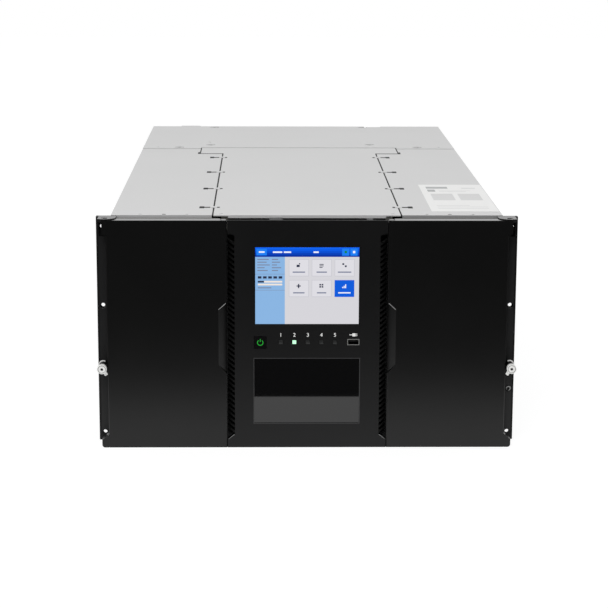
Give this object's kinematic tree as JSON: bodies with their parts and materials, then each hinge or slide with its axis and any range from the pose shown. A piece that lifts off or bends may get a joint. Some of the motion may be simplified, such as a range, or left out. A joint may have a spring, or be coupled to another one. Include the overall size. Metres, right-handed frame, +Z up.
{
  "type": "data tape library",
  "caption": "Rack-mount tape library: black front doors with a touch screen between them, pull-out cartridge magazines, a lifting robot, and slide-out drives and power supplies behind.",
  "frame": {"origin": "under the middle of the module, on the surface that it stands on", "axes": "+X to the right seen from the front, +Y into the rack, +Z up"},
  "size_m": [0.4786, 0.9042, 0.2667],
  "materials": {
    "chassis_sheet": "galvanised sheet, satin",
    "front_frame": "satin painted sheet",
    "cover_sheet": "satin pale grey sheet",
    "rack_ears": "black powder coat",
    "ear_trims": "dark grey moulding",
    "screw_steel": "zinc plated",
    "bezel_plastic": "black satin moulding",
    "vent_louvres": "black satin moulding",
    "touch_screen": "lit liquid crystal under glass",
    "view_window": "dark tinted pane",
    "status_lights": "diffusing lens",
    "usb_socket": "plated steel shell",
    "inner_steel": "galvanised",
    "gear_plastic": "acetal",
    "module_sheet": "plated sheet",
    "controller_ports": "plated jacks and screws",
    "power_button": "black button with a clear symbol",
    "thumbscrew_steel": "nickel plated, knurled",
    "door_plastic": "black satin moulding",
    "magazine_sheet": "bent sheet",
    "tray_plastic": "dark grey moulding",
    "spring_steel": "spring steel",
    "drive_case": "plated sheet case",
    "handle_plastic": "blue moulding",
    "supply_case": "plated sheet case",
    "supply_fittings": "black guard and handle",
    "fan_plastic": "black moulding",
    "robot_platform": "machined and bent",
    "shaft_steel": "steel shaft and pinions",
    "robot_carriage": "bent sheet",
    "tape_picker": "grey moulding",
    "tape_gripper": "acetal"
  },
  "bodies": {
    "chassis": {"floor_pan": "chassis_sheet", "left_side_panel": "chassis_sheet", "right_side_panel": "chassis_sheet", "front_frame": "front_frame", "rear_panel": "chassis_sheet", "left_top_cover": "cover_sheet", "right_top_cover": "cover_sheet", "centre_top_cover": "cover_sheet", "rear_top_cover": "cover_sheet", "rack_ears": "rack_ears", "ear_trims": "ear_trims", "cover_screws": "screw_steel", "centre_bezel": "bezel_plastic", "vent_louvres": "vent_louvres", "touch_screen": "touch_screen", "view_window": "view_window", "status_lights": "status_lights", "usb_socket": "usb_socket", "magazine_runners": "inner_steel", "lift_racks": "gear_plastic", "bay_walls": "inner_steel", "library_controller": "module_sheet", "controller_ports": "controller_ports"},
    "power_button": {"power_button": "power_button"},
    "left_thumbscrew": {"left_thumbscrew": "thumbscrew_steel"},
    "right_thumbscrew": {"right_thumbscrew": "thumbscrew_steel"},
    "left_magazine": {"left_door": "door_plastic", "left_magazine_frame": "magazine_sheet", "left_magazine_trays": "tray_plastic", "left_magazine_dividers": "tray_plastic", "left_tape_springs": "spring_steel"},
    "right_magazine": {"right_door": "door_plastic", "right_magazine_frame": "magazine_sheet", "right_magazine_trays": "tray_plastic", "right_magazine_dividers": "tray_plastic", "right_tape_springs": "spring_steel"},
    "drive_sled_1": {"tape_drive_1": "drive_case", "drive_handle_1": "handle_plastic"},
    "drive_sled_2": {"tape_drive_2": "drive_case", "drive_handle_2": "handle_plastic"},
    "drive_sled_3": {"tape_drive_3": "drive_case", "drive_handle_3": "handle_plastic"},
    "drive_sled_4": {"tape_drive_4": "drive_case", "drive_handle_4": "handle_plastic"},
    "drive_sled_5": {"tape_drive_5": "drive_case", "drive_handle_5": "handle_plastic"},
    "drive_sled_6": {"tape_drive_6": "drive_case", "drive_handle_6": "handle_plastic"},
    "supply_module_1": {"power_supply_1": "supply_case", "supply_fittings_1": "supply_fittings"},
    "supply_fan_1": {"supply_fan_1": "fan_plastic"},
    "supply_module_2": {"power_supply_2": "supply_case", "supply_fittings_2": "supply_fittings"},
    "supply_fan_2": {"supply_fan_2": "fan_plastic"},
    "robot_lift": {"robot_platform": "robot_platform"},
    "front_lift_shaft": {"front_lift_shaft": "shaft_steel"},
    "rear_lift_shaft": {"rear_lift_shaft": "shaft_steel"},
    "robot_carriage": {"robot_carriage": "robot_carriage"},
    "tape_picker": {"tape_picker": "tape_picker"},
    "tape_gripper": {"tape_gripper": "tape_gripper"}
  },
  "joints": [
    {"name": "power_button_press", "type": "slide", "parent": "chassis", "child": "power_button", "axis": [0, 1, 0], "range_m": [0, 0.0015], "stiffness_N_per_m": 400},
    {"name": "left_thumbscrew_turn", "type": "hinge", "parent": "chassis", "child": "left_thumbscrew", "pos_m": [-0.2332, -0.44385, 0.0945], "axis": [0, 1, 0], "continuous": true},
    {"name": "right_thumbscrew_turn", "type": "hinge", "parent": "chassis", "child": "right_thumbscrew", "pos_m": [0.2332, -0.44385, 0.0945], "axis": [0, 1, 0], "continuous": true},
    {"name": "left_magazine_slide", "type": "slide", "parent": "chassis", "child": "left_magazine", "axis": [0, -1, 0], "range_m": [0, 0.53]},
    {"name": "right_magazine_slide", "type": "slide", "parent": "chassis", "child": "right_magazine", "axis": [0, -1, 0], "range_m": [0, 0.53]},
    {"name": "drive_1_slide", "type": "slide", "parent": "chassis", "child": "drive_sled_1", "axis": [0, 1, 0], "range_m": [0, 0.22]},
    {"name": "drive_2_slide", "type": "slide", "parent": "chassis", "child": "drive_sled_2", "axis": [0, 1, 0], "range_m": [0, 0.22]},
    {"name": "drive_3_slide", "type": "slide", "parent": "chassis", "child": "drive_sled_3", "axis": [0, 1, 0], "range_m": [0, 0.22]},
    {"name": "drive_4_slide", "type": "slide", "parent": "chassis", "child": "drive_sled_4", "axis": [0, 1, 0], "range_m": [0, 0.22]},
    {"name": "drive_5_slide", "type": "slide", "parent": "chassis", "child": "drive_sled_5", "axis": [0, 1, 0], "range_m": [0, 0.22]},
    {"name": "drive_6_slide", "type": "slide", "parent": "chassis", "child": "drive_sled_6", "axis": [0, 1, 0], "range_m": [0, 0.22]},
    {"name": "supply_1_slide", "type": "slide", "parent": "chassis", "child": "supply_module_1", "axis": [0, 1, 0], "range_m": [0, 0.22]},
    {"name": "supply_fan_1_spin", "type": "hinge", "parent": "supply_module_1", "child": "supply_fan_1", "pos_m": [0.186, 0.41915, 0.04], "axis": [0, 1, 0], "continuous": true},
    {"name": "supply_2_slide", "type": "slide", "parent": "chassis", "child": "supply_module_2", "axis": [0, 1, 0], "range_m": [0, 0.22]},
    {"name": "supply_fan_2_spin", "type": "hinge", "parent": "supply_module_2", "child": "supply_fan_2", "pos_m": [0.186, 0.41915, 0.106], "axis": [0, 1, 0], "continuous": true},
    {"name": "robot_lift_travel", "type": "slide", "parent": "chassis", "child": "robot_lift", "axis": [0, 0, 1], "range_m": [0, 0.2075]},
    {"name": "front_lift_shaft_turn", "type": "hinge", "parent": "robot_lift", "child": "front_lift_shaft", "pos_m": [0, -0.38385, 0.013], "axis": [1, 0, 0], "range_deg": [0, 1190]},
    {"name": "rear_lift_shaft_turn", "type": "hinge", "parent": "robot_lift", "child": "rear_lift_shaft", "pos_m": [0, 0.14015, 0.013], "axis": [1, 0, 0], "range_deg": [-1190, 0]},
    {"name": "robot_carriage_travel", "type": "slide", "parent": "robot_lift", "child": "robot_carriage", "axis": [0, 1, 0], "range_m": [-0.2148, 0.2148]},
    {"name": "tape_picker_turn", "type": "hinge", "parent": "robot_carriage", "child": "tape_picker", "pos_m": [0, -0.12535, 0.028], "axis": [0, 0, 1], "range_deg": [-180, 0]},
    {"name": "tape_gripper_reach", "type": "slide", "parent": "tape_picker", "child": "tape_gripper", "axis": [-1, 0, 0], "range_m": [0, 0.11]}
  ],
  "couplings": [
    {"joint": "front_lift_shaft_turn", "follows": "robot_lift_travel", "rad_per_m": 100},
    {"joint": "rear_lift_shaft_turn", "follows": "robot_lift_travel", "rad_per_m": -100}
  ]
}
